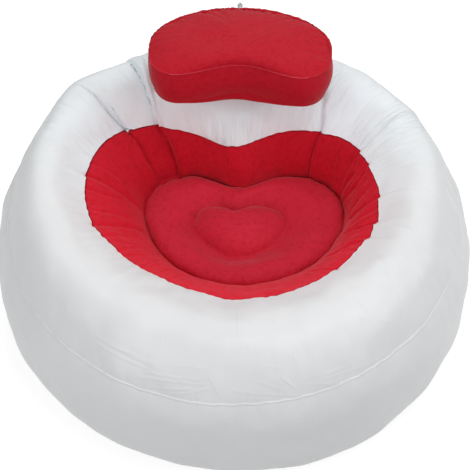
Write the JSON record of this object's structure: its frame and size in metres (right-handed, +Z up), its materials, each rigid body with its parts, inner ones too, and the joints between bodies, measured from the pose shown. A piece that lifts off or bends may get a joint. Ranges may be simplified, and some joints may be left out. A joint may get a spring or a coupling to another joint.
{
  "type": "inflatable lounge chair",
  "caption": "Low round inflatable lounge chair: air ring with a sunken flocked seat, low backrest, loose headrest pillow, main valve and pillow valve.",
  "frame": {"origin": "on the ground under the middle of the chair's overall box", "axes": "+Z up; the chair faces -Y, so the backrest and the pillow lie towards +Y; +X is to the right in a front view"},
  "size_m": [1.0992, 1.0997, 0.598],
  "materials": {
    "white_vinyl": "soft semi-gloss film, 0.6 mm",
    "red_flock": "matt flocked film, 1 mm",
    "valve_vinyl": "satin moulded",
    "clear_vinyl": "clear moulded"
  },
  "bodies": {
    "chair": {"seat_floor_panel": "red_flock", "seat_wall_panel": "red_flock", "top_panel": "white_vinyl", "side_wall_panel": "white_vinyl", "base_panel": "white_vinyl", "seat_tension_band": "white_vinyl", "centre_tension_band": "white_vinyl", "valve_base": "valve_vinyl"},
    "valve_insert_body": {"valve_insert": "valve_vinyl"},
    "valve_flap_body": {"valve_flap": "valve_vinyl"},
    "valve_cap_body": {"valve_cap": "valve_vinyl"},
    "pillow": {"pillow_top_panel": "red_flock", "pillow_side_band": "red_flock", "pillow_bottom_panel": "red_flock", "pillow_valve_collar": "clear_vinyl"},
    "pillow_stem_body": {"pillow_valve_stem": "clear_vinyl"},
    "pillow_plug_body": {"pillow_valve_plug": "clear_vinyl"}
  },
  "joints": [
    {"name": "valve_insert_turn", "type": "hinge", "parent": "chair", "child": "valve_insert_body", "pos_m": [-0.00003, 0.52916, 0.22697], "axis": [0.0059, 0.9478, 0.3187], "range_deg": [0, 60]},
    {"name": "valve_flap_hinge", "type": "hinge", "parent": "valve_insert_body", "child": "valve_flap_body", "pos_m": [-0.00005, 0.5245, 0.23896], "axis": [-1, 0.006, 0.0008], "range_deg": [0, 35], "stiffness_Nm_per_rad": 0.0001},
    {"name": "valve_cap_hinge", "type": "hinge", "parent": "valve_insert_body", "child": "valve_cap_body", "pos_m": [0, 0.5316, 0.24888], "axis": [1, -0.006, -0.0008], "range_deg": [0, 150]},
    {"name": "pillow_lift", "type": "slide", "parent": "chair", "child": "pillow", "axis": [0, 0, 1], "range_m": [0, 0.35]},
    {"name": "pillow_stem_push", "type": "slide", "parent": "pillow", "child": "pillow_stem_body", "axis": [0, 0.9953, 0.0967], "range_m": [-0.024, 0]},
    {"name": "pillow_plug_hinge", "type": "hinge", "parent": "pillow_stem_body", "child": "pillow_plug_body", "pos_m": [0.014, 0.40141, 0.56043], "axis": [1, 0, 0], "range_deg": [0, 120]}
  ]
}
